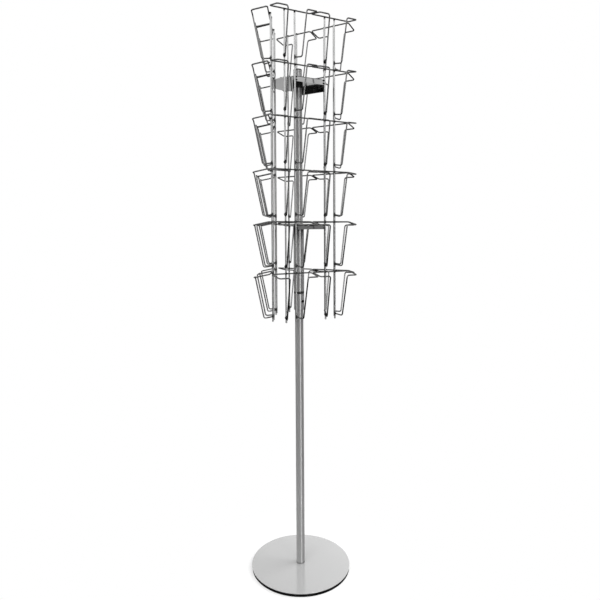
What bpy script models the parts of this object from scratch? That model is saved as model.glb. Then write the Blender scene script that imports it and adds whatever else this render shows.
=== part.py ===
"""Rotating brochure stand: a three-sided wire rack that turns on a tube post with a round base.

Metres, +Z up. The origin is on the floor, under the middle of the post.
Each side of the rack faces -Y in its own frame, with +X to the right, before it is turned to its place.
"""
import math

import bmesh
import bpy
from mathutils import Matrix, Vector

# Counts
SIDES = 3
COLUMNS = 2
TIERS = 6
LOWER_BRACKET_TIER = 5

# Clearances
WELD_GAP = 0.0003
RUNNING_GAP = 0.0003
SEAT_GAP = 0.0003

# Base
BASE_DIAMETER = 0.300
COVER_THICKNESS = 0.002
COVER_EDGE_ROUND = 0.001
WEIGHT_THICKNESS = 0.0085
WEIGHT_INSET = 0.001

# Post
POST_DIAMETER = 0.025
POST_WALL = 0.0015
POST_STANDOUT = 0.0375
PLUG_HEIGHT = 0.025
CAP_HEAD = 0.003
CAP_STEM = 0.012
CAP_CHAMFER = 0.0008

# Bolt that holds the post to the base
BOLT_DIAMETER = 0.010
BOLT_HEAD_DIAMETER = 0.020
BOLT_LAND = 0.0015
BOLT_ENGAGEMENT = 0.020

# Bearing: collar and screw on the post, bushes and sleeve on the rack
COLLAR_HEIGHT = 0.7963
COLLAR_LENGTH = 0.0485
SCREW_RISE = 0.0265
SCREW_DIAMETER = 0.005
SCREW_HEAD_DIAMETER = 0.0075
SCREW_HEAD_HEIGHT = 0.003
SCREW_ANGLE = math.radians(-45.0)
BUSH_WALL = 0.0012
BUSH_LENGTH = 0.025
THRUST_FLANGE = 0.0064
SLEEVE_WALL = 0.0012
SLEEVE_LENGTH = 0.1996
GUIDE_WALL = 0.0022
GUIDE_LENGTH = 0.012
GUIDE_FLANGE = 0.0025
GUIDE_FLANGE_WIDTH = 0.005

# Brackets
BRACKET_SHEET = 0.002
BRACKET_FLANGE = 0.0155
BRACKET_BEND = 0.003
BRACKET_CORNER_BULGE = 0.0105
BRACKET_SPACING = 0.4158
LOWER_BRACKET_DROP = 0.006

# Wires
POCKET_WIRE = 0.004
UPRIGHT_WIRE = 0.005
UPRIGHT_SPACING = 0.0325
UPRIGHT_TAIL = 0.0155
POCKET_PITCH_GAP = 0.0005
CORNER_GAP = 0.0075

# Pockets
POCKET_WIDTH = 0.1255
POCKET_HEIGHT = 0.1292
TIER_GAP = 0.0171
RIM_DEPTH = 0.0441
RIM_DROP = 0.0092
RIM_TAPER = 0.0014
FOOT_DEPTH = 0.0199
FOOT_RISE = 0.0037
LEG_TOP_SPACING = 0.0572
LEG_FOOT_SPACING = 0.0521
BEND_RADIUS = 0.006

# Facets
BASE_FACETS = 48
POST_FACETS = 36
BEARING_FACETS = 24
BOLT_FACETS = 16
UPRIGHT_FACETS = 8
POCKET_FACETS = 6
CORNER_STEPS = 8
EDGE_STEPS = 3

# Worked out: wires and sides
COLUMN_PITCH = POCKET_WIDTH + POCKET_WIRE + POCKET_PITCH_GAP
SIDE_LENGTH = (COLUMNS - 1) * COLUMN_PITCH + POCKET_WIDTH
SIDE_APOTHEM = (SIDE_LENGTH / 2 + CORNER_GAP) * math.tan(math.pi / 2 - math.pi / SIDES)
UPRIGHT_APOTHEM = SIDE_APOTHEM - POCKET_WIRE / 2 - WELD_GAP - UPRIGHT_WIRE / 2
INNER_UPRIGHT = COLUMN_PITCH / 2 - UPRIGHT_SPACING / 2
FLANGE_HALF = INNER_UPRIGHT - UPRIGHT_WIRE / 2 - WELD_GAP
FLANGE_APOTHEM = UPRIGHT_APOTHEM + BRACKET_SHEET / 2
CORNER_APOTHEM = UPRIGHT_APOTHEM - UPRIGHT_WIRE / 2 - WELD_GAP
TIER_PITCH = POCKET_HEIGHT + TIER_GAP

# Worked out: radii round the post
POST_RADIUS = POST_DIAMETER / 2
BORE_RADIUS = POST_RADIUS + RUNNING_GAP
BUSH_RADIUS = BORE_RADIUS + BUSH_WALL
SLEEVE_BORE = BUSH_RADIUS + SEAT_GAP
SLEEVE_RADIUS = SLEEVE_BORE + SLEEVE_WALL
GUIDE_RADIUS = BORE_RADIUS + GUIDE_WALL

# Worked out: heights, from the floor up
COVER_BOTTOM = WEIGHT_THICKNESS + SEAT_GAP
COVER_TOP = COVER_BOTTOM + COVER_THICKNESS
POST_BOTTOM = COVER_TOP + SEAT_GAP
COLLAR_TOP = COLLAR_HEIGHT + COLLAR_LENGTH
THRUST_BOTTOM = COLLAR_TOP + RUNNING_GAP
SLEEVE_BOTTOM = THRUST_BOTTOM + THRUST_FLANGE + SEAT_GAP
LOWER_PLATE_TOP = SLEEVE_BOTTOM + SLEEVE_LENGTH + WELD_GAP + BRACKET_SHEET
TOP_TIER = LOWER_PLATE_TOP + LOWER_BRACKET_DROP + (LOWER_BRACKET_TIER - 1) * TIER_PITCH
UPPER_PLATE_TOP = LOWER_PLATE_TOP + BRACKET_SPACING
POST_TOP = UPPER_PLATE_TOP + POST_STANDOUT

# Side a faces left, side b front right and side c back right
SIDE_NAMES = "abc"
FIRST_SIDE_ANGLE = math.radians(-90.0)


def clear_scene():
    for old in list(bpy.data.objects):
        bpy.data.objects.remove(old, do_unlink=True)


def finish(name, colour, roughness, metallic):
    made = bpy.data.materials.new(name)
    made.use_nodes = True
    shader = made.node_tree.nodes["Principled BSDF"]
    shader.inputs["Base Color"].default_value = (*colour, 1.0)
    shader.inputs["Roughness"].default_value = roughness
    shader.inputs["Metallic"].default_value = metallic
    return made


def add_object(name, mesh, material, parent=None):
    """Put a mesh in the scene under its own name and material."""
    if not mesh.materials:
        mesh.materials.append(material)
    made = bpy.data.objects.new(name, mesh)
    made.parent = parent
    bpy.context.collection.objects.link(made)
    return made


def finish_mesh(name, bm, smooth_angle=math.radians(35.0)):
    """Turn a bmesh into a mesh with outward faces, smooth across its shallow edges."""
    bmesh.ops.recalc_face_normals(bm, faces=bm.faces)
    mesh = bpy.data.meshes.new(name)
    bm.to_mesh(mesh)
    bm.free()
    mesh.shade_smooth()
    mesh.set_sharp_from_angle(angle=smooth_angle)
    return mesh


def turned_mesh(name, profile, facets):
    """Spin a profile of (radius, height) points, from the axis to the axis or round a bore, about Z."""
    bm = bmesh.new()
    turns = [Matrix.Rotation(2 * math.pi * i / facets, 3, "Z") for i in range(facets)]
    rings = []
    for radius, height in profile:
        if radius == 0:
            rings.append([bm.verts.new((0, 0, height))] * facets)
        else:
            rings.append([bm.verts.new(turn @ Vector((radius, 0, height))) for turn in turns])
    on_axis = profile[0][0] == 0
    pairs = list(zip(rings, rings[1:]))
    if not on_axis:
        pairs.append((rings[-1], rings[0]))
    for lower, upper in pairs:
        for i in range(facets):
            j = (i + 1) % facets
            corners = [lower[i], lower[j], upper[j], upper[i]]
            face = [v for k, v in enumerate(corners) if v not in corners[:k]]
            if len(face) > 2:
                bm.faces.new(face)
    return finish_mesh(name, bm)


def rounded_path(points, radius, steps):
    """A polyline whose inner corners are replaced by arcs of the given radius."""
    path = [points[0]]
    for before, corner, after in zip(points, points[1:], points[2:]):
        into = (corner - before).normalized()
        out = (after - corner).normalized()
        half_turn = into.angle(out) / 2
        room = min((corner - before).length, (after - corner).length) / 2
        cut = min(radius * math.tan(half_turn), room)
        inward = (out - into).normalized()
        bend = cut / math.tan(half_turn)
        centre = corner + inward * bend / math.cos(half_turn)
        start = corner - into * cut - centre
        axis = into.cross(out).normalized()
        for i in range(steps + 1):
            turn = Matrix.Rotation(2 * half_turn * i / steps, 3, axis)
            path.append(centre + turn @ start)
    path.append(points[-1])
    return path


def wire_mesh(name, path, diameter, facets):
    """Sweep a round wire along a path, with mitred rings and flat ends."""
    bm = bmesh.new()
    heading = (path[1] - path[0]).normalized()
    side = heading.orthogonal().normalized()
    rings = []
    for k, point in enumerate(path):
        ahead = (path[k + 1] - point).normalized() if k + 1 < len(path) else heading
        tangent = (heading + ahead).normalized()
        stretch = 1 / tangent.dot(heading)
        side = heading.rotation_difference(ahead) @ side
        across = ahead.cross(side).normalized()
        fold = (ahead - heading).normalized() if (ahead - heading).length > 1e-6 else Vector()
        ring = []
        for i in range(facets):
            angle = 2 * math.pi * i / facets
            spoke = (side * math.cos(angle) + across * math.sin(angle)) * diameter / 2
            flat = spoke - tangent * spoke.dot(tangent)
            flat = flat.normalized() * diameter / 2
            ring.append(bm.verts.new(point + flat + fold * flat.dot(fold) * (stretch - 1)))
        rings.append(ring)
        heading = ahead
    for near, far in zip(rings, rings[1:]):
        for i in range(facets):
            j = (i + 1) % facets
            bm.faces.new((near[i], near[j], far[j], far[i]))
    bm.faces.new(rings[0][::-1])
    bm.faces.new(rings[-1])
    return finish_mesh(name, bm, math.radians(65.0))


def prism(bm, outline, bottom, top):
    """A closed prism over a flat outline of (x, y) points."""
    low = bm.faces.new([bm.verts.new((x, y, bottom)) for x, y in outline])
    grown = bmesh.ops.extrude_face_region(bm, geom=[low])["geom"]
    risen = [v for v in grown if isinstance(v, bmesh.types.BMVert)]
    bmesh.ops.translate(bm, verts=risen, vec=(0, 0, top - bottom))


def cutter(name, mesh, parent=None):
    """A hidden object that only cuts others."""
    made = bpy.data.objects.new(name, mesh)
    made.parent = parent
    made.hide_render = True
    made.display_type = "WIRE"
    bpy.context.collection.objects.link(made)
    return made


def cut(target, tool):
    step = target.modifiers.new(tool.name, "BOOLEAN")
    step.operation = "DIFFERENCE"
    step.solver = "EXACT"
    step.object = tool


def side_turn(side):
    return FIRST_SIDE_ANGLE + 2 * math.pi * side / SIDES


def column_centre(column):
    return (column - (COLUMNS - 1) / 2) * COLUMN_PITCH


def base_pieces(silver, black, steel):
    """The black disc on the floor, its silver cover and the bolt up into the post."""
    bolt_radius = BOLT_DIAMETER / 2
    head_radius = BOLT_HEAD_DIAMETER / 2
    head_height = WEIGHT_THICKNESS - BOLT_LAND
    hole = bolt_radius + SEAT_GAP
    outer = BASE_DIAMETER / 2
    weight = [
        (head_radius + SEAT_GAP, 0),
        (outer - WEIGHT_INSET, 0),
        (outer - WEIGHT_INSET, WEIGHT_THICKNESS),
        (hole, WEIGHT_THICKNESS),
        (hole, head_height),
    ]
    add_object("base_weight", turned_mesh("base_weight", weight, BASE_FACETS), black)

    edge = min(COVER_EDGE_ROUND, COVER_THICKNESS)
    rounding = [math.pi / 2 * i / EDGE_STEPS for i in range(EDGE_STEPS + 1)]
    cover = [(hole, COVER_BOTTOM), (outer, COVER_BOTTOM)]
    cover += [(outer - edge + edge * math.cos(t), COVER_TOP - edge + edge * math.sin(t)) for t in rounding]
    cover.append((hole, COVER_TOP))
    add_object("base_cover", turned_mesh("base_cover", cover, BASE_FACETS), silver)

    bolt_top = POST_BOTTOM + BOLT_ENGAGEMENT
    bolt = [(0, 0), (head_radius, 0), (bolt_radius, head_height), (bolt_radius, bolt_top), (0, bolt_top)]
    add_object("base_bolt", turned_mesh("base_bolt", bolt, BOLT_FACETS), steel)


def post_pieces(silver, plastic):
    """The tube post with its foot plug, and the plastic cap in its top."""
    bore = POST_RADIUS - POST_WALL
    bolt_hole = BOLT_DIAMETER / 2 + SEAT_GAP
    plug_top = POST_BOTTOM + PLUG_HEIGHT
    tube = [
        (bolt_hole, POST_BOTTOM),
        (POST_RADIUS, POST_BOTTOM),
        (POST_RADIUS, POST_TOP),
        (bore, POST_TOP),
        (bore, plug_top),
        (bolt_hole, plug_top),
    ]
    add_object("post", turned_mesh("post", tube, POST_FACETS), silver)

    stem = bore - SEAT_GAP
    under_head = POST_TOP + SEAT_GAP
    head_top = under_head + CAP_HEAD
    cap = [
        (0, POST_TOP - CAP_STEM),
        (stem - CAP_CHAMFER, POST_TOP - CAP_STEM),
        (stem, POST_TOP - CAP_STEM + CAP_CHAMFER),
        (stem, under_head),
        (POST_RADIUS, under_head),
        (POST_RADIUS, head_top - CAP_CHAMFER),
        (POST_RADIUS - CAP_CHAMFER, head_top),
        (0, head_top),
    ]
    add_object("post_cap", turned_mesh("post_cap", cap, POST_FACETS), plastic)


def collar_pieces(silver, black):
    """The collar on the post, and the screw through its wall."""
    ring = [
        (BORE_RADIUS, COLLAR_HEIGHT),
        (SLEEVE_RADIUS, COLLAR_HEIGHT),
        (SLEEVE_RADIUS, COLLAR_TOP),
        (BORE_RADIUS, COLLAR_TOP),
    ]
    collar = add_object("stop_collar", turned_mesh("stop_collar", ring, BEARING_FACETS), silver)

    screw_radius = SCREW_DIAMETER / 2
    tip = BORE_RADIUS
    seat = SLEEVE_RADIUS + SEAT_GAP
    head = seat + SCREW_HEAD_HEIGHT
    across = SCREW_HEAD_DIAMETER / 2
    screw = [(0, tip), (screw_radius, tip), (screw_radius, seat), (across, seat), (across, head), (0, head)]
    lie_down = Matrix.Rotation(SCREW_ANGLE, 4, "Z") @ Matrix.Rotation(math.pi / 2, 4, "Y")
    place = Matrix.Translation((0, 0, COLLAR_HEIGHT + SCREW_RISE)) @ lie_down
    made = add_object("collar_screw", turned_mesh("collar_screw", screw, BOLT_FACETS), black)
    made.matrix_world = place

    hole_radius = screw_radius + SEAT_GAP
    hole = [(0, POST_RADIUS), (hole_radius, POST_RADIUS), (hole_radius, head), (0, head)]
    tool = cutter("collar_screw_hole", turned_mesh("collar_screw_hole", hole, BOLT_FACETS))
    tool.matrix_world = place
    cut(collar, tool)


def bearing_pieces(silver, plastic, axis):
    """The bushes and the sleeve that turn with the rack."""
    lift = axis.location.z
    flange_top = THRUST_BOTTOM + THRUST_FLANGE
    thrust = [
        (BORE_RADIUS, THRUST_BOTTOM),
        (SLEEVE_RADIUS, THRUST_BOTTOM),
        (SLEEVE_RADIUS, flange_top),
        (BUSH_RADIUS, flange_top),
        (BUSH_RADIUS, flange_top + BUSH_LENGTH),
        (BORE_RADIUS, flange_top + BUSH_LENGTH),
    ]
    sleeve_top = SLEEVE_BOTTOM + SLEEVE_LENGTH
    sleeve = [
        (SLEEVE_BORE, SLEEVE_BOTTOM),
        (SLEEVE_RADIUS, SLEEVE_BOTTOM),
        (SLEEVE_RADIUS, sleeve_top),
        (SLEEVE_BORE, sleeve_top),
    ]
    guide_seat = UPPER_PLATE_TOP + SEAT_GAP
    guide_bottom = UPPER_PLATE_TOP - BRACKET_SHEET - GUIDE_LENGTH
    guide = [
        (BORE_RADIUS, guide_bottom),
        (GUIDE_RADIUS, guide_bottom),
        (GUIDE_RADIUS, guide_seat),
        (GUIDE_RADIUS + GUIDE_FLANGE_WIDTH, guide_seat),
        (GUIDE_RADIUS + GUIDE_FLANGE_WIDTH, guide_seat + GUIDE_FLANGE),
        (BORE_RADIUS, guide_seat + GUIDE_FLANGE),
    ]
    shapes = [("thrust_bush", thrust, plastic), ("bearing_sleeve", sleeve, silver), ("upper_bush", guide, plastic)]
    for name, profile, material in shapes:
        local = [(radius, height - lift) for radius, height in profile]
        add_object(name, turned_mesh(name, local, BEARING_FACETS), material, axis)


def flange_ends(side, apothem):
    """The two ends of a bracket's flange at a distance from the axis, left and right seen from outside."""
    turn = Matrix.Rotation(side_turn(side), 2)
    return turn @ Vector((-FLANGE_HALF, -apothem)), turn @ Vector((FLANGE_HALF, -apothem))


def bulged_corner(start, end, bulge):
    """Points strictly between two ends, on the arc that stands out from their chord by the bulge."""
    half = (end - start).length / 2
    radius = (half ** 2 + bulge ** 2) / (2 * bulge)
    middle = (start + end) / 2
    centre = middle - middle.normalized() * (radius - bulge)
    sweep = 2 * math.asin(half / radius)
    spoke = start - centre
    return [centre + Matrix.Rotation(sweep * i / CORNER_STEPS, 2) @ spoke for i in range(1, CORNER_STEPS)]


def bracket(name, plate_top, hole_radius, material, axis):
    """A sheet plate with a flange turned down along each side and open, rounded corners."""
    outline = []
    for side in range(SIDES):
        left, right = flange_ends(side, CORNER_APOTHEM)
        following = flange_ends((side + 1) % SIDES, CORNER_APOTHEM)[0]
        outline += [left, *flange_ends(side, FLANGE_APOTHEM), right]
        outline += bulged_corner(right, following, BRACKET_CORNER_BULGE)
    bm = bmesh.new()
    prism(bm, outline, -BRACKET_FLANGE, 0)
    bends = [e for e in bm.edges if is_flange_bend(e)]
    bmesh.ops.bevel(bm, geom=bends, offset=BRACKET_BEND, segments=EDGE_STEPS, profile=0.5, affect="EDGES")
    made = add_object(name, finish_mesh(name, bm), material, axis)
    made.location.z = plate_top - axis.location.z

    inside = bmesh.new()
    reach = (FLANGE_APOTHEM - BRACKET_SHEET) / math.cos(math.pi / SIDES)
    points = [side_turn(side) - math.pi / 2 + math.pi / SIDES for side in range(SIDES)]
    hollow = [(reach * math.cos(t), reach * math.sin(t)) for t in points]
    prism(inside, hollow, -2 * BRACKET_FLANGE, -BRACKET_SHEET)
    cut(made, cutter(name + "_hollow", finish_mesh(name + "_hollow", inside), made))

    reach = BRACKET_FLANGE
    bore = [(0, -reach), (hole_radius, -reach), (hole_radius, reach), (0, reach)]
    cut(made, cutter(name + "_bore", turned_mesh(name + "_bore", bore, BEARING_FACETS), made))


def is_flange_bend(edge):
    """True for a top edge that lies along a flange."""
    ends = [v.co for v in edge.verts]
    if min(p.z for p in ends) < -BRACKET_SHEET / 2:
        return False
    middle = ((ends[0] + ends[1]) / 2).xy
    return abs(middle.length - FLANGE_APOTHEM) < BRACKET_SHEET / 2


def uprights(material, axis):
    """Two straight wires behind every column."""
    lift = axis.location.z
    last_weld = TOP_TIER - (TIERS - 1) * TIER_PITCH - POCKET_HEIGHT + FOOT_RISE
    bottom = Vector((0, -UPRIGHT_APOTHEM, last_weld - UPRIGHT_TAIL - lift))
    top = Vector((0, -UPRIGHT_APOTHEM, TOP_TIER + POCKET_WIRE / 2 - lift))
    places = [column_centre(c) + s * UPRIGHT_SPACING / 2 for c in range(COLUMNS) for s in (-1, 1)]
    for number, across in enumerate(places, start=1):
        step = Vector((across, 0, 0))
        mesh = wire_mesh(f"upright_{number}", [bottom + step, top + step], UPRIGHT_WIRE, UPRIGHT_FACETS)
        for side in range(SIDES):
            made = add_object(f"upright_{SIDE_NAMES[side]}_{number}", mesh, material, axis)
            made.rotation_euler.z = side_turn(side)


def pocket_corners(centre):
    """The corner points of one pocket's wire, from weld to weld, with its back wire at height 0."""
    back = -SIDE_APOTHEM
    front = back - RIM_DEPTH
    half = POCKET_WIDTH / 2
    foot = Vector((LEG_FOOT_SPACING / 2, back - FOOT_DEPTH, -POCKET_HEIGHT))
    upright = Vector((UPRIGHT_SPACING / 2, -UPRIGHT_APOTHEM, -POCKET_HEIGHT + FOOT_RISE))
    towards = (foot - upright).normalized()
    weld = upright + towards * (UPRIGHT_WIRE / 2 + 2 * WELD_GAP)
    right = [
        Vector((half, back, 0)),
        Vector((half - RIM_TAPER, front, -RIM_DROP)),
        Vector((LEG_TOP_SPACING / 2, front, -RIM_DROP)),
        foot,
        weld,
    ]
    left = [Vector((-p.x, p.y, p.z)) for p in reversed(right)]
    return [p + Vector((centre, 0, 0)) for p in left + right]


def pockets(material, axis):
    """One bent wire for every pocket."""
    lift = axis.location.z
    for column, where in enumerate(("left", "right")):
        path = rounded_path(pocket_corners(column_centre(column)), BEND_RADIUS, 1)
        mesh = wire_mesh(f"pocket_{where}", path, POCKET_WIRE, POCKET_FACETS)
        for side in range(SIDES):
            for tier in range(TIERS):
                name = f"pocket_{SIDE_NAMES[side]}_{where}_{tier + 1}"
                made = add_object(name, mesh, material, axis)
                made.location.z = TOP_TIER - tier * TIER_PITCH - lift
                made.rotation_euler.z = side_turn(side)


def main():
    clear_scene()
    silver = finish("silver_lacquer", (0.60, 0.60, 0.61), 0.35, 0.8)
    chrome = finish("chromed_wire", (0.55, 0.56, 0.58), 0.2, 1.0)
    sheet = finish("zinc_sheet", (0.62, 0.62, 0.63), 0.3, 1.0)
    steel = finish("bolt_steel", (0.40, 0.40, 0.42), 0.4, 1.0)
    black = finish("black_lacquer", (0.02, 0.02, 0.02), 0.5, 0.0)
    plastic = finish("black_plastic", (0.015, 0.015, 0.015), 0.6, 0.0)

    base_pieces(silver, black, steel)
    post_pieces(silver, plastic)
    collar_pieces(silver, black)

    axis = bpy.data.objects.new("rack_axis", None)
    axis.location.z = THRUST_BOTTOM
    bpy.context.collection.objects.link(axis)
    bearing_pieces(silver, plastic, axis)
    bracket("upper_bracket", UPPER_PLATE_TOP, GUIDE_RADIUS + SEAT_GAP, sheet, axis)
    bracket("lower_bracket", LOWER_PLATE_TOP, SLEEVE_BORE, sheet, axis)
    uprights(chrome, axis)
    pockets(chrome, axis)


main()
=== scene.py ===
"""Looks of the rotating brochure stand: bent wires, satin tube, lacquered base and studio light."""
import math

import bmesh
import bpy
from mathutils import Matrix, Vector, noise


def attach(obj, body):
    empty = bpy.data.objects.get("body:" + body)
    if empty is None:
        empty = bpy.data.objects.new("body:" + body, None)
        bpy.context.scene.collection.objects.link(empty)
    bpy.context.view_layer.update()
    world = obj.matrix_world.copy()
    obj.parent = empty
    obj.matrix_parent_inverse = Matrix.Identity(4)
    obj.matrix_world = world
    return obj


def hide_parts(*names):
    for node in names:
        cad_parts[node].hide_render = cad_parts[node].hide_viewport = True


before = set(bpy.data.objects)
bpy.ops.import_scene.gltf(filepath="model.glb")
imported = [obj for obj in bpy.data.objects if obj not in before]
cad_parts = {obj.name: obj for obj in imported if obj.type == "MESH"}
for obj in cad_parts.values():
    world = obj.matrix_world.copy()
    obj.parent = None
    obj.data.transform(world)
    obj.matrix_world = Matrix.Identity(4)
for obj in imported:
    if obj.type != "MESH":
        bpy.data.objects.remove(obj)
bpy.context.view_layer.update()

# Sizes are in metres, as in the CAD model. A side of the rack is built facing -Y and turned to its place.
TURNS = {"a": math.radians(-90.0), "b": math.radians(30.0), "c": math.radians(150.0)}
COLUMNS = {"left": -0.5, "right": 0.5}
HANDS = (-1, 1)
TIERS = 6
WELD_GAP = 0.0003
FIT_GAP = 0.0003

# Pockets and uprights
POCKET_WIRE = 0.004
UPRIGHT_WIRE = 0.005
POCKET_WIDTH = 0.1255
COLUMN_PITCH = 0.130
SIDE_MARGIN = 0.0075
SIDE_APOTHEM = (COLUMN_PITCH / 2 + POCKET_WIDTH / 2 + SIDE_MARGIN) * math.tan(math.radians(30.0))
UPRIGHT_APOTHEM = SIDE_APOTHEM - POCKET_WIRE / 2 - UPRIGHT_WIRE / 2 - WELD_GAP
UPRIGHT_SPACING = 0.0325
UPRIGHT_HALF = UPRIGHT_SPACING / 2
INNER_UPRIGHT = COLUMN_PITCH / 2 - UPRIGHT_HALF
TIER_PITCH = 0.1463
TOP_TIER = 1.6449
POCKET_HEIGHT = 0.1292
FOOT_RISE = 0.0037
FOOT_DROP = POCKET_HEIGHT - FOOT_RISE
FOOT_GAP = 0.0004
RIM_DEPTH = 0.0441
RIM_DROP = 0.0092
RIM_TAPER = 0.0014
FOOT_DEPTH = 0.0199
LEG_TOP_HALF = 0.0286
LEG_FOOT_HALF = 0.02605
BEND_RADIUS = 0.006
UPRIGHT_TAIL = 0.0155
UPRIGHT_BOTTOM = TOP_TIER - (TIERS - 1) * TIER_PITCH - FOOT_DROP - UPRIGHT_TAIL
UPRIGHT_TOP = TOP_TIER + POCKET_WIRE / 2
WIRE_DOME = 0.35
WIRE_END = 0.6
DOME_ROOM = 0.001

# Weld beads: half sizes across, out and up, the foot beads' share of theirs at a column's left and right
# upright on each side, and how far they stand off the wires or lean into corners
CROSS_BEAD = (0.0030, 0.0016, 0.0027)
FOOT_BEAD = (0.0040, 0.0026, 0.0042)
FLANGE_BEAD = (0.0036, 0.0022, 0.0028)
FOOT_SHARES = {"a": (0.7, 0.7), "b": (1.25, 0.6), "c": (1.0, 1.0)}
CROSS_BEAD_OUT = 0.0002
FOOT_BEAD_OUT = 0.0001
FOOT_BEAD_LEAN = 0.0012
FLANGE_BEAD_IN = 0.0012
FLANGE_BEAD_LEVELS = (0.0035, 0.0115)
BEAD_LUMPS = 0.22
BEAD_GRAIN = 1.7

# Brackets
SHEET = 0.002
SHEET_BEND = 0.003
LOWER_PLATE_TOP = 1.0537
UPPER_PLATE_TOP = 1.4695
BRACKET_FLANGE = 0.0155
FLANGE_HALF = INNER_UPRIGHT - UPRIGHT_WIRE / 2 - WELD_GAP
FLANGE_APOTHEM = UPRIGHT_APOTHEM + SHEET / 2
FOLD_APOTHEM = FLANGE_APOTHEM - SHEET_BEND
CORNER_APOTHEM = UPRIGHT_APOTHEM - UPRIGHT_WIRE / 2 - WELD_GAP
CORNER_BULGE = 0.0105

# Post and bearing
POST_RADIUS = 0.0125
POST_BORE = 0.011
POST_BOTTOM = 0.0111
POST_TOP = 1.507
POST_EDGE = 0.0004
PLUG_TOP = 0.0361
CAP_HEIGHT = 0.003
CAP_EDGE = 0.0012
CAP_STEM = 0.0107
CAP_STEM_LENGTH = 0.012
CAP_CHAMFER = 0.0008
BORE = 0.0128
COLLAR_BOTTOM = 0.7963
COLLAR_TOP = 0.8448
COLLAR_EDGE = 0.0008
BUSH_FLANGE_TOP = 0.8515
BUSH_RADIUS = 0.014
BUSH_LENGTH = 0.025
BUSH_EDGE = 0.0006
SLEEVE_RADIUS = 0.0155
SLEEVE_BORE = 0.0143
SLEEVE_BOTTOM = 0.8518
SLEEVE_EDGE = 0.0005
GUIDE_RADIUS = 0.015
GUIDE_DEPTH = 0.012
GUIDE_FLANGE = 0.020
GUIDE_FLANGE_HEIGHT = 0.0025
SCREW_HEIGHT = 0.8228
SCREW_ANGLE = math.radians(-45.0)
SCREW_RADIUS = 0.0025
SCREW_HEAD = 0.00375
SCREW_HEAD_HEIGHT = 0.003
SCREW_EDGE = 0.0005
SCREW_SOCKET = 0.00175
SCREW_SOCKET_DEPTH = 0.0018

# Base
BASE_RADIUS = 0.150
COVER_BOTTOM = 0.0088
COVER_TOP = 0.0108
COVER_EDGE = 0.001
COVER_CHAMFER = 0.0003
COVER_RINGS = (0.13, 0.09, 0.05, 0.02)
WEIGHT_TOP = 0.0085
WEIGHT_INSET = 0.001
WEIGHT_CHAMFER = 0.0006
BOLT_HOLE = 0.0053
BOLT_SEAT = 0.0103
BOLT_HEAD = 0.01
BOLT_HEAD_TOP = WEIGHT_TOP - 0.0015
BOLT_HEAD_EDGE = 0.0003
BOLT_RADIUS = 0.005
BOLT_CHAMFER = 0.0008
BOLT_REACH = 0.02
BOLT_SOCKET = 0.003
BOLT_SOCKET_DEPTH = 0.0025

# Facets round each kind of piece, steps along bends, and angles in degrees beyond which edges stay sharp
POCKET_FACETS = 14
UPRIGHT_FACETS = 18
SCREW_FACETS = 36
BOLT_FACETS = 48
BUSH_FACETS = 64
TUBE_FACETS = 72
BASE_FACETS = 192
BORE_FACETS = 48
FLOOR_FACETS = 96
BEND_STEPS = 7
CORNER_STEPS = 18
FOLD_STEPS = 6
SHARP = 40.0
CRISP = 30.0

# Finish: the used part of a noise's range, the plating's tone at grazing angles, the weld marks' solid and
# faded reach, and the painted shade that darkens the post towards its foot, with a painted contact shadow
# line under it
EVEN = (1, 1, 1)
NOISE_RANGE = (0.3, 0.7)
EDGE_SHEEN = 0.3
SCORCH_CORE = 0.0045
SCORCH_REACH = 0.009
SCORCH_RAGGED = 0.002
CROSSING_SHRINK = 0.002
FOOT_SHADE_TONE = 0.84
FOOT_SHADE_TOP = 0.20
CONTACT_SHADOW_TONE = 0.5
CONTACT_SHADOW_TOP = 0.0165

# The paper floor: its size, tones and own glow to the camera, the glow's share in reflections, and its fade
FLOOR_RADIUS = 0.42
FLOOR_TONES = (0.40, 0.44)
FLOOR_GLOW = 0.54
FLOOR_MIRRORED = 0.15
FLOOR_FADE = (0.20, 0.34)

# The room's tone at bearings from the front in degrees, positive to the right, at eye level and higher up,
# the rise between the two, and the walls' tone by height, both as the sine of the elevation
ROOM_LOW = (
    (-180, 1.0), (-165, 1.0), (-145, 0.08), (-70, 0.04), (0, 0.02), (40, 0.04), (50, 0.38),
    (68, 0.38), (78, 0.05), (145, 0.08), (165, 1.0), (180, 1.0),
)
ROOM_HIGH = (
    (-180, 0.90), (-168, 0.65), (-145, 0.65), (-125, 1.0), (-100, 1.25), (20, 1.25), (40, 1.0),
    (50, 0.68), (75, 0.68), (90, 1.0), (168, 1.15), (180, 0.90),
)
ROOM_RISE = (0.06, 0.26)
WALLS = (
    (-1.0, 0.10), (-0.40, 0.10), (-0.28, 0.65), (-0.10, 1.0), (0.15, 1.0), (0.24, 1.8), (0.42, 1.9),
    (0.52, 1.0), (0.75, 0.20), (1.0, 0.20),
)

# The camera: place round the post, turn in radians, and the lens and its centre in pixels of the image
EYE_AZIMUTH = 0.02624
EYE_DISTANCE = 1.64104
EYE_HEIGHT = 1.0365
EYE_PITCH = 0.05041
EYE_ROLL = -0.00639
EYE_YAW = 0.00368
FOCAL_PIXELS = 545.83
CENTRE_X = 296.83
CENTRE_Y = 257.47
IMAGE_SIZE = 600
SENSOR = 36.0


# Materials

def opened(made):
    """A material's node tree and shader."""
    return made.node_tree, made.node_tree.nodes["Principled BSDF"]


def new_material(name):
    made = bpy.data.materials.new(name)
    made.use_nodes = True
    return made, *opened(made)


def grey(tone):
    return (tone, tone, tone, 1.0)


def feed(tree, value, socket):
    """Link a node's output to a socket, or set the socket to a plain value."""
    if isinstance(value, bpy.types.NodeSocket):
        tree.links.new(value, socket)
    else:
        socket.default_value = value


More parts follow.
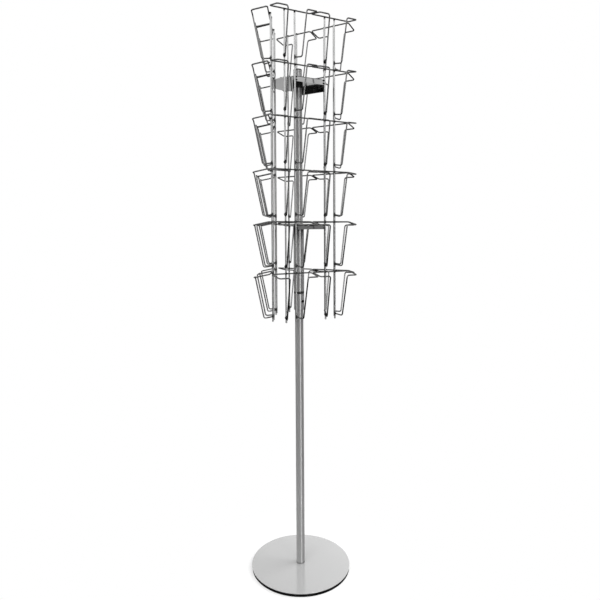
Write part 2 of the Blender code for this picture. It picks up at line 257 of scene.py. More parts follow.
def noise_node(tree, scale, detail, stretch=EVEN):
    """A noise texture in the piece's own coordinates."""
    where = tree.nodes.new("ShaderNodeTexCoord")
    mapping = tree.nodes.new("ShaderNodeMapping")
    mapping.inputs["Scale"].default_value = stretch
    made = tree.nodes.new("ShaderNodeTexNoise")
    made.inputs["Scale"].default_value = scale
    made.inputs["Detail"].default_value = detail
    tree.links.new(where.outputs["Object"], mapping.inputs["Vector"])
    tree.links.new(mapping.outputs["Vector"], made.inputs["Vector"])
    return made.outputs["Fac"]


def tone_ramp(tree, source, stops):
    """A grey ramp through (position, tone) stops."""
    made = tree.nodes.new("ShaderNodeValToRGB")
    tree.links.new(source, made.inputs["Fac"])
    points = made.color_ramp.elements
    for point, (position, tone) in zip(points, (stops[0], stops[-1])):
        point.position = position
        point.color = grey(tone)
    for position, tone in stops[1:-1]:
        points.new(position).color = grey(tone)
    return made.outputs["Color"]


def spread(tree, source, low, high, start=NOISE_RANGE[0], end=NOISE_RANGE[1]):
    """A value that goes from low to high while its source goes from start to end."""
    made = tree.nodes.new("ShaderNodeMapRange")
    made.inputs["From Min"].default_value = start
    made.inputs["From Max"].default_value = end
    made.inputs["To Min"].default_value = low
    made.inputs["To Max"].default_value = high
    tree.links.new(source, made.inputs["Value"])
    return made.outputs["Result"]


def sums(tree, operation, first, second=0.0):
    """A maths node on two values, each a number or another node's output."""
    made = tree.nodes.new("ShaderNodeMath")
    made.operation = operation
    for socket, value in zip(made.inputs, (first, second)):
        feed(tree, value, socket)
    return made.outputs[0]


def length(tree, vector):
    made = tree.nodes.new("ShaderNodeVectorMath")
    made.operation = "LENGTH"
    tree.links.new(vector, made.inputs[0])
    return made.outputs["Value"]


def mix(tree, first, second, share=1.0, blend="MIX", kind="RGBA"):
    """A mix of two colours or numbers, each plain or another node's output."""
    made = tree.nodes.new("ShaderNodeMix")
    made.data_type = kind
    made.blend_type = blend
    for name, value in (("Factor", share), ("A", first), ("B", second)):
        feed(tree, value, made.inputs[name])
    return made.outputs["Result"]


def dress(tree, shader, broad, tones, fine, polish, relief):
    """Let one noise drive the colour between two tones, and another the roughness and a slight bump."""
    colour = tone_ramp(tree, broad, list(zip(NOISE_RANGE, tones)))
    tree.links.new(colour, shader.inputs["Base Color"])
    tree.links.new(spread(tree, fine, *polish), shader.inputs["Roughness"])
    bump = tree.nodes.new("ShaderNodeBump")
    for name, value in zip(("Strength", "Distance", "Height"), (*relief, fine)):
        feed(tree, value, bump.inputs[name])
    tree.links.new(bump.outputs["Normal"], shader.inputs["Normal"])


def metal(name, tones, polish, cloud=(60.0, EVEN), grain=(900.0, EVEN), metallic=1.0):
    """A plated or lacquered metal whose tone and polish drift a little over its surface."""
    made, tree, shader = new_material(name)
    shader.inputs["Metallic"].default_value = metallic
    clouds = noise_node(tree, cloud[0], 4.0, cloud[1])
    fine = noise_node(tree, grain[0], 2.0, grain[1])
    dress(tree, shader, clouds, tones, fine, polish, (0.25, 0.00002))
    return made


def lacquer(name, tones, polish, metallic, coat, gloss):
    """Sprayed paint: fine flake in the colour, faint orange peel and a thin clear coat."""
    made, tree, shader = new_material(name)
    shader.inputs["Metallic"].default_value = metallic
    shader.inputs["Coat Weight"].default_value = coat
    shader.inputs["Coat Roughness"].default_value = 0.12
    shader.inputs["Specular IOR Level"].default_value = gloss
    flake = noise_node(tree, 2600.0, 2.0)
    peel = noise_node(tree, 420.0, 3.0)
    dress(tree, shader, flake, tones, peel, polish, (0.12, 0.00003))
    return made


def plastic(name, tones, polish):
    made, tree, shader = new_material(name)
    fine = noise_node(tree, 1500.0, 3.0)
    broad = noise_node(tree, 90.0, 3.0)
    dress(tree, shader, broad, tones, fine, polish, (0.3, 0.00005))
    return made


def grind(made):
    """Grind a tube in turns about its axis, which draws its highlights out along it."""
    tree, shader = opened(made)
    shader.inputs["Anisotropic"].default_value = 1.0
    shader.inputs["Anisotropic Rotation"].default_value = 0.25
    around = tree.nodes.new("ShaderNodeTangent")
    around.direction_type = "RADIAL"
    around.axis = "Z"
    tree.links.new(around.outputs["Tangent"], shader.inputs["Tangent"])


def overlay(made, socket, marked, share, blend="MIX", kind="RGBA"):
    """Mix a value over what already feeds a socket of the shader."""
    tree, shader = opened(made)
    plain = shader.inputs[socket].links[0].from_socket
    tree.links.new(mix(tree, plain, marked, share, blend, kind), shader.inputs[socket])


def piece_axes(tree):
    """The piece's own coordinates, as three separate outputs."""
    where = tree.nodes.new("ShaderNodeTexCoord")
    split = tree.nodes.new("ShaderNodeSeparateXYZ")
    tree.links.new(where.outputs["Object"], split.inputs["Vector"])
    return [split.outputs[axis] for axis in "XYZ"]


def paint_foot_shade(made):
    """Painted shade that darkens the post's colour towards its foot, with a painted contact shadow line
    where the post meets the base.
    """
    tree = made.node_tree
    z = piece_axes(tree)[2]
    # painted shade: the post's colour darkens towards its foot, and a painted contact shadow line runs along
    # its bottom edge
    foot_shade = spread(tree, z, FOOT_SHADE_TONE, 1.0, POST_BOTTOM, FOOT_SHADE_TOP)
    contact_shadow = spread(tree, z, CONTACT_SHADOW_TONE, 1.0, POST_BOTTOM, CONTACT_SHADOW_TOP)
    overlay(made, "Base Color", sums(tree, "MULTIPLY", foot_shade, contact_shadow), 1.0, "MULTIPLY")


def scorch(made, distance, tone, dull):
    """Darken and dull the plating near the welds, given the distance from them in metres."""
    tree = made.node_tree
    blotch = noise_node(tree, 700.0, 2.0)
    ragged = sums(tree, "ADD", distance, sums(tree, "MULTIPLY", blotch, SCORCH_RAGGED))
    near = spread(tree, ragged, 1.0, 0.0, SCORCH_CORE, SCORCH_REACH)
    overlay(made, "Base Color", grey(tone), near)
    overlay(made, "Roughness", dull, near, kind="FLOAT")


def upright_scorch(made):
    """Weld marks on an upright at every crossing wire and every foot."""
    tree = made.node_tree
    below = sums(tree, "SUBTRACT", TOP_TIER, piece_axes(tree)[2])
    crossing = sums(tree, "PINGPONG", below, TIER_PITCH / 2)
    feet = sums(tree, "PINGPONG", sums(tree, "SUBTRACT", below, FOOT_DROP), TIER_PITCH / 2)
    nearest = sums(tree, "MINIMUM", sums(tree, "ADD", crossing, CROSSING_SHRINK), feet)
    scorch(made, nearest, tone=0.07, dull=0.5)


def pocket_scorch(made):
    """Weld marks on a pocket's wire where its back crosses the uprights and where its ends meet them."""
    tree = made.node_tree
    x, y, z = piece_axes(tree)
    middle = sums(tree, "ABSOLUTE", sums(tree, "SUBTRACT", sums(tree, "ABSOLUTE", x), COLUMN_PITCH / 2))
    across = sums(tree, "SUBTRACT", middle, UPRIGHT_HALF)
    spots = []
    for apothem, drop in ((SIDE_APOTHEM, 0.0), (UPRIGHT_APOTHEM, FOOT_DROP)):
        gap = tree.nodes.new("ShaderNodeCombineXYZ")
        tree.links.new(across, gap.inputs["X"])
        tree.links.new(sums(tree, "ADD", y, apothem), gap.inputs["Y"])
        tree.links.new(sums(tree, "ADD", z, drop), gap.inputs["Z"])
        spots.append(length(tree, gap.outputs[0]))
    scorch(made, sums(tree, "MINIMUM", *spots), tone=0.07, dull=0.45)


chrome = metal("plated_wire", (0.20, 0.25), (0.10, 0.20), (45.0, EVEN))
zinc = metal("drawn_wire", (0.40, 0.46), (0.26, 0.36), (30.0, (1, 1, 0.2)), (1400.0, (1, 1, 0.05)), 0.85)
sheet = metal("bracket_sheet", (0.33, 0.38), (0.07, 0.13), (35.0, EVEN))
tube = metal("satin_tube", (0.54, 0.57), (0.43, 0.47), (8.0, (1, 1, 0.15)), (1200.0, (1, 1, 0.02)), 0.95)
weld = metal("weld_bead", (0.02, 0.07), (0.35, 0.55), (500.0, EVEN))
cross_weld = metal("cross_weld", (0.10, 0.20), (0.30, 0.45), (500.0, EVEN))
bolt_steel = metal("bolt_steel", (0.40, 0.50), (0.28, 0.40))
silver = lacquer("silver_lacquer", (0.48, 0.54), (0.13, 0.19), metallic=0.35, coat=0.2, gloss=0.5)
black = lacquer("black_lacquer", (0.002, 0.004), (0.45, 0.6), metallic=0.0, coat=0.0, gloss=0.05)
nylon = plastic("black_nylon", (0.006, 0.012), (0.5, 0.65))
pocket_scorch(chrome)
upright_scorch(zinc)
grind(tube)
# painted shade towards the post's foot, with a painted contact shadow line at the base
paint_foot_shade(tube)
for plated in (chrome, zinc, tube):
    opened(plated)[1].inputs["Specular Tint"].default_value = grey(EDGE_SHEEN)


# Mesh tools

def to_mesh(name, bm, material, angle=None):
    """Close a bmesh into a smooth mesh, with its edges beyond the angle in degrees kept sharp."""
    bmesh.ops.recalc_face_normals(bm, faces=bm.faces)
    mesh = bpy.data.meshes.new(name)
    bm.to_mesh(mesh)
    bm.free()
    mesh.shade_smooth()
    if angle:
        mesh.set_sharp_from_angle(angle=math.radians(angle))
    mesh.materials.append(material)
    return mesh


def place(name, mesh, where, body, nodes=()):
    """A piece that rides a body and stands for its CAD nodes."""
    made = bpy.data.objects.new(name, mesh)
    bpy.context.scene.collection.objects.link(made)
    made.matrix_world = where
    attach(made, body)
    if nodes:
        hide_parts(*nodes)
    return made


def to_object(name, bm, material, body, nodes=(), angle=SHARP):
    """A piece made in its place, whose rounded edges leave its flats evenly lit."""
    mesh = to_mesh(name, bm, material, angle)
    made = place(name, mesh, Matrix.Identity(4), body, nodes)
    made.modifiers.new("flat_faces", "WEIGHTED_NORMAL").keep_sharp = True


def hexagon(radius, t):
    """The reach at angle t of a hexagon with the given radius to its flats."""
    return radius / math.cos(t % (math.pi / 3) - math.pi / 6)


def spin(bm, profile, facets, turn, socket):
    """Turn a profile of (radius, height) points about Z. It closes on itself unless it starts on the axis.

    The points whose places are listed in socket go round a hexagon instead of a circle.
    """
    rings = []
    for place_in_profile, (radius, height) in enumerate(profile):
        if radius == 0:
            rings.append([bm.verts.new(turn @ Vector((0, 0, height)))] * facets)
            continue
        ring = []
        for i in range(facets):
            t = 2 * math.pi * i / facets
            reach = hexagon(radius, t) if place_in_profile in socket else radius
            ring.append(bm.verts.new(turn @ Vector((reach * math.cos(t), reach * math.sin(t), height))))
        rings.append(ring)
    pairs = list(zip(rings, rings[1:]))
    if profile[0][0] != 0:
        pairs.append((rings[-1], rings[0]))
    for near, far in pairs:
        for i in range(facets):
            j = (i + 1) % facets
            corners = [near[i], near[j], far[j], far[i]]
            face = [v for k, v in enumerate(corners) if v not in corners[:k]]
            if len(face) > 2:
                bm.faces.new(face)


def turned(
    name, profile, facets, material, body, node, angle=SHARP,
    turn=Matrix.Identity(4), socket=(),
):
    """A piece turned from a profile, in place of one CAD node."""
    bm = bmesh.new()
    spin(bm, profile, facets, turn, socket)
    to_object(name, bm, material, body, [node], angle)


def arc(centre, radius, start, end, steps):
    """Points of a circular arc in the (radius, height) plane, angles in degrees."""
    angles = [math.radians(start + (end - start) * i / steps) for i in range(steps + 1)]
    return [(centre[0] + radius * math.cos(t), centre[1] + radius * math.sin(t)) for t in angles]


def rounded_ring(inner, outer, bottom, top, edge, steps=4):
    """The profile of a ring whose four edges are rounded."""
    points = arc((inner + edge, bottom + edge), edge, 180, 270, steps)
    points += arc((outer - edge, bottom + edge), edge, 270, 360, steps)
    points += arc((outer - edge, top - edge), edge, 0, 90, steps)
    points += arc((inner + edge, top - edge), edge, 90, 180, steps)
    return points


def stepped_ring(inner, outers, levels, edge=BUSH_EDGE, steps=3):
    """The profile of a ring with two outer radii, one above the other, and rounded rims."""
    low, step, top = levels
    lower, upper = outers
    points = arc((inner + edge, low + edge), edge, 180, 270, steps)
    points += arc((lower - edge, low + edge), edge, 270, 360, steps)
    if lower > upper:
        points += arc((lower - edge, step - edge), edge, 0, 90, steps) + [(upper, step)]
    else:
        points += [(lower, step)] + arc((upper - edge, step + edge), edge, 270, 360, steps)
    points += arc((upper - edge, top - edge), edge, 0, 90, steps)
    points += arc((inner + edge, top - edge), edge, 90, 180, steps)
    return points


def rounded_path(points, radius, steps):
    """A polyline whose inner corners are replaced by arcs."""
    path = [points[0]]
    for before, corner, after in zip(points, points[1:], points[2:]):
        into = (corner - before).normalized()
        out = (after - corner).normalized()
        half_turn = into.angle(out) / 2
        room = min((corner - before).length, (after - corner).length) / 2
        cut = min(radius * math.tan(half_turn), room)
        inward = (out - into).normalized()
        centre = corner + inward * cut / math.sin(half_turn)
        start = corner - into * cut - centre
        axis = into.cross(out).normalized()
        for i in range(steps + 1):
            path.append(centre + Matrix.Rotation(2 * half_turn * i / steps, 3, axis) @ start)
    path.append(points[-1])
    return path


def sweep(bm, path, radius, facets):
    """A round wire along a path, with slightly domed ends."""
    start = (path[0] - path[1]).normalized()
    end = (path[-1] - path[-2]).normalized()
    stations = [(path[0] + start * radius * WIRE_DOME, radius * WIRE_END)]
    stations += [(point, radius) for point in path]
    stations.append((path[-1] + end * radius * WIRE_DOME, radius * WIRE_END))
    angles = [2 * math.pi * i / facets for i in range(facets)]
    heading = -start
    side = heading.orthogonal().normalized()
    rings = []
    for k, (point, size) in enumerate(stations):
        if 1 < k < len(stations) - 2:
            ahead = (stations[k + 1][0] - point).normalized()
        elif k <= 1:
            ahead = -start
        else:
            ahead = end
        side = (heading.rotation_difference(ahead) @ side).normalized()
        tangent = (heading + ahead).normalized()
        flat = (side - tangent * side.dot(tangent)).normalized()
        across = tangent.cross(flat)
        spokes = [flat * math.cos(t) + across * math.sin(t) for t in angles]
        rings.append([bm.verts.new(point + spoke * size) for spoke in spokes])
        heading = ahead
    for near, far in zip(rings, rings[1:]):
        for i in range(facets):
            j = (i + 1) % facets
            bm.faces.new((near[i], near[j], far[j], far[i]))
    bm.faces.new(rings[0][::-1])
    bm.faces.new(rings[-1])


def bead(bm, centre, size, seed):
    """A lumpy weld bead: a small ball pressed to the given half sizes."""
    apart = Vector((seed * 3.1, seed * 1.7, seed * 0.9))
    for v in bmesh.ops.create_icosphere(bm, subdivisions=2, radius=1.0)["verts"]:
        lump = 1 + BEAD_LUMPS * noise.noise(v.co * BEAD_GRAIN + apart)
        v.co = centre + Vector((v.co.x * size[0], v.co.y * size[1], v.co.z * size[2])) * lump


# Pockets and uprights

def turn_about_post(angle):
    return Matrix.Rotation(angle, 4, "Z")


def tier_height(tier):
    return TOP_TIER - tier * TIER_PITCH


def pocket_corners(centre):
    """One pocket's wire from weld to weld, on a side that faces -Y, with its back wire at height 0."""
    back = -SIDE_APOTHEM
    front = back - RIM_DEPTH
    half = POCKET_WIDTH / 2
    foot = Vector((LEG_FOOT_HALF, back - FOOT_DEPTH, -POCKET_HEIGHT))
    upright = Vector((UPRIGHT_HALF, -UPRIGHT_APOTHEM, -POCKET_HEIGHT + FOOT_RISE))
    end = upright + (foot - upright).normalized() * (UPRIGHT_WIRE / 2 + FOOT_GAP)
    right = [
        Vector((half, back, 0)),
        Vector((half - RIM_TAPER, front, -RIM_DROP)),
        Vector((LEG_TOP_HALF, front, -RIM_DROP)),
        foot,
        end,
    ]
    left = [Vector((-p.x, p.y, p.z)) for p in reversed(right)]
    return [p + Vector((centre, 0, 0)) for p in left + right]


def make_pockets():
    for where, column in COLUMNS.items():
        bm = bmesh.new()
        path = rounded_path(pocket_corners(column * COLUMN_PITCH), BEND_RADIUS, BEND_STEPS)
        sweep(bm, path, POCKET_WIRE / 2, POCKET_FACETS)
        mesh = to_mesh(f"wire_pocket_{where}", bm, chrome)
        for side, turn in TURNS.items():
            for tier in range(TIERS):
                node = f"pocket_{side}_{where}_{tier + 1}"
                spot = turn_about_post(turn) @ Matrix.Translation((0, 0, tier_height(tier)))
                place("wire_" + node, mesh, spot, "rack", [node])


def make_uprights():
    places = [c * COLUMN_PITCH + hand * UPRIGHT_HALF for c in COLUMNS.values() for hand in HANDS]
    levels = (UPRIGHT_BOTTOM + DOME_ROOM, UPRIGHT_TOP - DOME_ROOM)
    for number, across in enumerate(places, start=1):
        bm = bmesh.new()
        ends = [Vector((across, -UPRIGHT_APOTHEM, z)) for z in levels]
        sweep(bm, ends, UPRIGHT_WIRE / 2, UPRIGHT_FACETS)
        mesh = to_mesh(f"wire_upright_{number}", bm, zinc, SHARP)
        for side, turn in TURNS.items():
            node = f"upright_{side}_{number}"
            place("wire_" + node, mesh, turn_about_post(turn), "rack", [node])


def make_welds():
    """The beads where wires cross uprights, where feet end on them and where flanges meet them."""
    contact = -(UPRIGHT_APOTHEM + UPRIGHT_WIRE / 2)
    corners = [(column, hand) for column in COLUMNS.values() for hand in HANDS]
    for side, turn in TURNS.items():
        bm = bmesh.new()
        crossings = bmesh.new()
        seed = 0
        for column, hand in corners:
            across = column * COLUMN_PITCH + hand * UPRIGHT_HALF
            share = FOOT_SHARES[side][hand > 0]
            for tier in range(TIERS):
                seed += 1
                height = tier_height(tier)
                spot = Vector((across, contact - CROSS_BEAD_OUT, height))
                bead(crossings, spot, CROSS_BEAD, seed)
                foot = height - POCKET_HEIGHT + FOOT_RISE
                spot = Vector((across + hand * FOOT_BEAD_LEAN, contact - FOOT_BEAD_OUT, foot))
                bead(bm, spot, [share * half for half in FOOT_BEAD], seed + 0.5)
        for top in (LOWER_PLATE_TOP, UPPER_PLATE_TOP):
            for hand in HANDS:
                across = hand * (FLANGE_HALF - FLANGE_BEAD_IN)
                for level in FLANGE_BEAD_LEVELS:
                    seed += 1
                    spot = Vector((across, -UPRIGHT_APOTHEM - FLANGE_BEAD_IN, top - level))
                    bead(bm, spot, FLANGE_BEAD, seed)
        for name, made, material in (("weld_beads", bm, weld), ("cross_beads", crossings, cross_weld)):
            bmesh.ops.transform(made, matrix=turn_about_post(turn), verts=made.verts)
            to_object(f"{name}_{side}", made, material, "rack")


# Brackets

def corner_points(start, end, bulge, steps):
    """The points between start and end of an arc that bulges away from the post."""
    half = (end - start).length / 2
    radius = (half ** 2 + bulge ** 2) / (2 * bulge)
    middle = (start + end) / 2
    centre = middle - middle.normalized() * (radius - bulge)
    whole = 2 * math.asin(half / radius)
    return [centre + Matrix.Rotation(whole * i / steps, 2) @ (start - centre) for i in range(1, steps)]


def plate_outline():
    """The flat plate's outline, and for each flange its turn and the place of its fold in the outline."""
    outline = []
    folds = []
    for turn in TURNS.values():
        spun = Matrix.Rotation(turn, 2)
        following = Matrix.Rotation(turn + 2 * math.pi / 3, 2)
        folds.append((spun, len(outline) + 1))
        outline.append(spun @ Vector((-FLANGE_HALF, -CORNER_APOTHEM)))
        outline += [spun @ Vector((hand * FLANGE_HALF, -FOLD_APOTHEM)) for hand in HANDS]
        outline.append(spun @ Vector((FLANGE_HALF, -CORNER_APOTHEM)))
        next_corner = following @ Vector((-FLANGE_HALF, -CORNER_APOTHEM))
        outline += corner_points(outline[-1], next_corner, CORNER_BULGE, CORNER_STEPS)
    return outline, folds


def fold_flange(bm, spun, top, previous):
    """Bend the sheet down from the plate's edge, outer then inner face, and close its end."""
    angles = [math.pi / 2 * i / FOLD_STEPS for i in range(1, FOLD_STEPS + 1)]
    stations = [(t, 0.0) for t in angles] + [(math.pi / 2, BRACKET_FLANGE - SHEET_BEND)]
    for t, drop in stations:
        made = []
        for radius in (SHEET_BEND, SHEET_BEND - SHEET):
            out = FOLD_APOTHEM + radius * math.sin(t)
            height = top - SHEET_BEND + radius * math.cos(t) - drop
            ends = [spun @ Vector((hand * FLANGE_HALF, -out)) for hand in HANDS]
            made.append(tuple(bm.verts.new((p.x, p.y, height)) for p in ends))
        for old, new in zip(previous, made):
            bm.faces.new((old[0], old[1], new[1], new[0]))
        for k in (0, 1):
            bm.faces.new((previous[0][k], made[0][k], made[1][k], previous[1][k]))
        previous = made
    bm.faces.new((previous[0][0], previous[0][1], previous[1][1], previous[1][0]))


def make_bracket(node, top, hole):
    """A bent sheet: a flat plate with a bore and rounded corners, and three flanges folded down from it."""
    bm = bmesh.new()
    outline, folds = plate_outline()
    bore = [2 * math.pi * i / BORE_FACETS for i in range(BORE_FACETS)]
    circle = [Vector((hole * math.cos(t), hole * math.sin(t))) for t in bore]
    plates, bores = [
        [[bm.verts.new((p.x, p.y, height)) for p in points] for height in (top, top - SHEET)]
        for points in (outline, circle)
    ]
    for loops in zip(plates, bores):
        edges = []
        for loop in loops:
            edges += [bm.edges.new(pair) for pair in zip(loop, loop[1:] + loop[:1])]
        bmesh.ops.triangle_fill(bm, edges=edges, use_beauty=True)
    for (upper, lower), open_at in ((plates, [first for _, first in folds]), (bores, [])):
        for i in range(len(upper)):
            j = (i + 1) % len(upper)
            if i not in open_at:
                bm.faces.new((upper[i], upper[j], lower[j], lower[i]))
    for spun, first in folds:
        fold_flange(bm, spun, top, [(plate[first], plate[first + 1]) for plate in plates])
    to_object("sheet_" + node, bm, sheet, "rack", [node], CRISP)


# Post, bearing and base

def make_post():
    profile = [(POST_RADIUS, POST_BOTTOM)]
    profile += arc((POST_RADIUS - POST_EDGE, POST_TOP - POST_EDGE), POST_EDGE, 0, 90, 3)
    profile += [(POST_BORE, POST_TOP), (POST_BORE, PLUG_TOP)]
    profile += [(BOLT_HOLE, PLUG_TOP), (BOLT_HOLE, POST_BOTTOM)]
    turned("satin_post", profile, TUBE_FACETS, tube, "stand", "post")

    under = POST_TOP + FIT_GAP
    end = POST_TOP - CAP_STEM_LENGTH
    profile = [(0, end), (CAP_STEM - CAP_CHAMFER, end), (CAP_STEM, end + CAP_CHAMFER), (CAP_STEM, under)]
    profile.append((POST_RADIUS, under))
    profile += arc((POST_RADIUS - CAP_EDGE, under + CAP_HEIGHT - CAP_EDGE), CAP_EDGE, 0, 90, 5)
    profile.append((0, under + CAP_HEIGHT))
    turned("cap_plug", profile, BUSH_FACETS, nylon, "stand", "post_cap")


def make_bearing():
    profile = rounded_ring(BORE, SLEEVE_RADIUS, COLLAR_BOTTOM, COLLAR_TOP, COLLAR_EDGE)
    turned("clamp_collar", profile, TUBE_FACETS, tube, "stand", "stop_collar")

    levels = (COLLAR_TOP + FIT_GAP, BUSH_FLANGE_TOP, BUSH_FLANGE_TOP + BUSH_LENGTH)
    profile = stepped_ring(BORE, (SLEEVE_RADIUS, BUSH_RADIUS), levels)
    turned("flanged_bush", profile, BUSH_FACETS, nylon, "rack", "thrust_bush")

    sleeve_top = LOWER_PLATE_TOP - SHEET - FIT_GAP
    profile = rounded_ring(SLEEVE_BORE, SLEEVE_RADIUS, SLEEVE_BOTTOM, sleeve_top, SLEEVE_EDGE)
    turned("turning_sleeve", profile, TUBE_FACETS, tube, "rack", "bearing_sleeve")

    seat = UPPER_PLATE_TOP + FIT_GAP
    levels = (UPPER_PLATE_TOP - SHEET - GUIDE_DEPTH, seat, seat + GUIDE_FLANGE_HEIGHT)
    profile = stepped_ring(BORE, (GUIDE_RADIUS, GUIDE_FLANGE), levels)
    turned("guide_bush", profile, BUSH_FACETS, nylon, "rack", "upper_bush")


def make_screw():
    """A socket-head screw that lies along the radius of the collar."""
    lie = turn_about_post(SCREW_ANGLE) @ Matrix.Rotation(math.pi / 2, 4, "Y")
    where = Matrix.Translation((0, 0, SCREW_HEIGHT)) @ lie
    seat = SLEEVE_RADIUS + FIT_GAP
    head = seat + SCREW_HEAD_HEIGHT
    floor = head - SCREW_SOCKET_DEPTH
    profile = [(0, BORE), (SCREW_RADIUS, BORE), (SCREW_RADIUS, seat), (SCREW_HEAD, seat)]
    profile += arc((SCREW_HEAD - SCREW_EDGE, head - SCREW_EDGE), SCREW_EDGE, 0, 90, 4)
    flats = (len(profile), len(profile) + 1)
    profile += [(SCREW_SOCKET, head), (SCREW_SOCKET, floor), (0, floor)]
    turned(
        "socket_screw", profile, SCREW_FACETS, black, "stand", "collar_screw",
        turn=where, socket=flats,
    )


def make_base():
    profile = [(BOLT_HOLE, COVER_BOTTOM), (BASE_RADIUS - COVER_CHAMFER, COVER_BOTTOM)]
    profile.append((BASE_RADIUS, COVER_BOTTOM + COVER_CHAMFER))
    profile += arc((BASE_RADIUS - COVER_EDGE, COVER_TOP - COVER_EDGE), COVER_EDGE, 0, 90, 8)
    profile += [(radius, COVER_TOP) for radius in (*COVER_RINGS, BOLT_HOLE)]
    turned("lacquered_cover", profile, BASE_FACETS, silver, "stand", "base_cover", CRISP)

    edge = BASE_RADIUS - WEIGHT_INSET
    profile = [(BOLT_SEAT, 0.0), (edge - WEIGHT_CHAMFER, 0.0), (edge, WEIGHT_CHAMFER)]
    profile += [(edge, WEIGHT_TOP - WEIGHT_CHAMFER), (edge - WEIGHT_CHAMFER, WEIGHT_TOP)]
    profile += [(BOLT_HOLE, WEIGHT_TOP), (BOLT_HOLE, BOLT_HEAD_TOP)]
    turned("weight_disc", profile, BASE_FACETS, black, "stand", "base_weight", CRISP)

    tip = POST_BOTTOM + BOLT_REACH
    profile = [(0, BOLT_SOCKET_DEPTH), (BOLT_SOCKET, BOLT_SOCKET_DEPTH), (BOLT_SOCKET, 0.0)]
    profile += [(BOLT_HEAD - BOLT_HEAD_EDGE, 0.0), (BOLT_HEAD, BOLT_HEAD_EDGE), (BOLT_RADIUS, BOLT_HEAD_TOP)]
    profile += [(BOLT_RADIUS, tip - BOLT_CHAMFER), (BOLT_RADIUS - BOLT_CHAMFER, tip), (0, tip)]
    turned(
        "countersunk_bolt", profile, BOLT_FACETS, bolt_steel, "stand", "base_bolt", CRISP,
        socket=(1, 2),
    )


# Studio

def soft_box(name, at, target, size, energy, tall=None, mirrored=False):
    data = bpy.data.lights.new(name, "AREA")
    data.energy = energy
    data.size = size
    if tall:
        data.shape = "RECTANGLE"
        data.size_y = tall
    made = bpy.data.objects.new(name, data)
    bpy.context.scene.collection.objects.link(made)
    made.location = at
    made.rotation_euler = (Vector(target) - Vector(at)).to_track_quat("-Z", "Y").to_euler()
    made.visible_camera = False
    made.visible_glossy = mirrored


def make_floor():
    """A pale paper disc that takes the shadow near the stand and fades to white further out."""
    bm = bmesh.new()
    bmesh.ops.create_circle(bm, cap_ends=True, segments=FLOOR_FACETS, radius=FLOOR_RADIUS)
    mesh = bpy.data.meshes.new("paper_floor")
    bm.to_mesh(mesh)
    bm.free()
    made, tree, shader = new_material("paper_floor")
    shader.inputs["Roughness"].default_value = 0.9
    shader.inputs["Specular IOR Level"].default_value = 0.1
    shader.inputs["Emission Color"].default_value = grey(1.0)
    fibres = noise_node(tree, 120.0, 4.0)
    paper = tone_ramp(tree, fibres, list(zip(NOISE_RANGE, FLOOR_TONES)))
    tree.links.new(paper, shader.inputs["Base Color"])
    path = tree.nodes.new("ShaderNodeLightPath")
    mirrored = sums(tree, "MULTIPLY", path.outputs["Is Glossy Ray"], FLOOR_MIRRORED)
    seen = sums(tree, "MAXIMUM", path.outputs["Is Camera Ray"], mirrored)
    tree.links.new(sums(tree, "MULTIPLY", seen, FLOOR_GLOW), shader.inputs["Emission Strength"])
    where = tree.nodes.new("ShaderNodeTexCoord")
    outer = spread(tree, length(tree, where.outputs["Object"]), 0.0, 1.0, *FLOOR_FADE)
    white = tree.nodes.new("ShaderNodeEmission")
    fade = tree.nodes.new("ShaderNodeMixShader")
    tree.links.new(sums(tree, "MULTIPLY", path.outputs["Is Camera Ray"], outer), fade.inputs["Fac"])
    tree.links.new(shader.outputs["BSDF"], fade.inputs[1])
    tree.links.new(white.outputs["Emission"], fade.inputs[2])
    tree.links.new(fade.outputs["Shader"], tree.nodes["Material Output"].inputs["Surface"])
    mesh.materials.append(made)
    floor = bpy.data.objects.new("paper_floor", mesh)
    bpy.context.scene.collection.objects.link(floor)


def make_world():
    """White to the camera. Light and reflections see a white backdrop behind and a dimmer room in front."""
    world = bpy.data.worlds.new("studio")
    bpy.context.scene.world = world
    world.use_nodes = True
    tree = world.node_tree
    where = tree.nodes.new("ShaderNodeTexCoord")
    split = tree.nodes.new("ShaderNodeSeparateXYZ")
    tree.links.new(where.outputs["Generated"], split.inputs["Vector"])
    x, y, z = [split.outputs[axis] for axis in "XYZ"]
    bearing = sums(tree, "ARCTAN2", x, sums(tree, "MULTIPLY", y, -1.0))
    turn = spread(tree, bearing, 0.0, 1.0, -math.pi, math.pi)
    low, high = [
        tone_ramp(tree, turn, [((degrees + 180) / 360, tone) for degrees, tone in room])
        for room in (ROOM_LOW, ROOM_HIGH)
    ]
    room = mix(tree, low, high, spread(tree, z, 0.0, 1.0, *ROOM_RISE))
    level = spread(tree, z, 0.0, 1.0, -1.0, 1.0)
    walls = tone_ramp(tree, level, [((height + 1) / 2, tone) for height, tone in WALLS])
    shade = mix(tree, room, walls, blend="MULTIPLY")
    path = tree.nodes.new("ShaderNodeLightPath")
    seen = mix(tree, shade, grey(1.0), path.outputs["Is Camera Ray"])
    back = tree.nodes["Background"]
    tree.links.new(seen, back.inputs["Color"])
    back.inputs["Strength"].default_value = 1.0


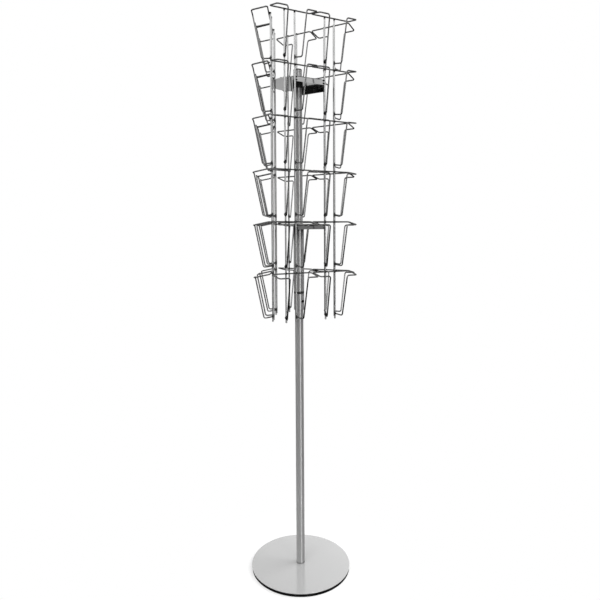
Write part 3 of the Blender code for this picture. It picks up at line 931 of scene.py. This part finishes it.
def make_camera():
    """The photograph's viewpoint: eye level, about 1.6 m away, tipped slightly down."""
    turn = EYE_AZIMUTH + EYE_YAW
    upright = Vector((0, 0, 1))
    level = Vector((-math.sin(turn), math.cos(turn), 0))
    flat_right = Vector((math.cos(turn), math.sin(turn), 0))
    forward = level * math.cos(EYE_PITCH) - upright * math.sin(EYE_PITCH)
    tipped = level * math.sin(EYE_PITCH) + upright * math.cos(EYE_PITCH)
    right = flat_right * math.cos(EYE_ROLL) + tipped * math.sin(EYE_ROLL)
    up = tipped * math.cos(EYE_ROLL) - flat_right * math.sin(EYE_ROLL)
    data = bpy.data.cameras.new("camera")
    data.sensor_fit = "HORIZONTAL"
    data.sensor_width = SENSOR
    data.lens = FOCAL_PIXELS / IMAGE_SIZE * SENSOR
    data.shift_x = (IMAGE_SIZE / 2 - CENTRE_X) / IMAGE_SIZE
    data.shift_y = (CENTRE_Y - IMAGE_SIZE / 2) / IMAGE_SIZE
    made = bpy.data.objects.new("camera", data)
    bpy.context.scene.collection.objects.link(made)
    spot = Vector((EYE_DISTANCE * math.sin(EYE_AZIMUTH), -EYE_DISTANCE * math.cos(EYE_AZIMUTH), EYE_HEIGHT))
    made.matrix_world = Matrix.Translation(spot) @ Matrix((right, up, -forward)).transposed().to_4x4()
    bpy.context.scene.camera = made


make_pockets()
make_uprights()
make_welds()
make_bracket("upper_bracket", UPPER_PLATE_TOP, GUIDE_RADIUS + FIT_GAP)
make_bracket("lower_bracket", LOWER_PLATE_TOP, SLEEVE_BORE)
make_post()
make_bearing()
make_screw()
make_base()
make_floor()
make_world()
soft_box(
    "key", at=(1.219, -1.951, 0.75), target=(0, 0, 0.75), size=0.8, energy=15.0,
    tall=1.4, mirrored=True,
)
soft_box("overhead", at=(1.4, 0.28, 2.0), target=(0, 0, 0), size=1.4, energy=34.0)
soft_box("front_fill", at=(-1.0, -1.9, 2.9), target=(0, 0, 1.2), size=1.4, energy=32.0)
make_camera()
bpy.context.scene.view_settings.view_transform = "Standard"
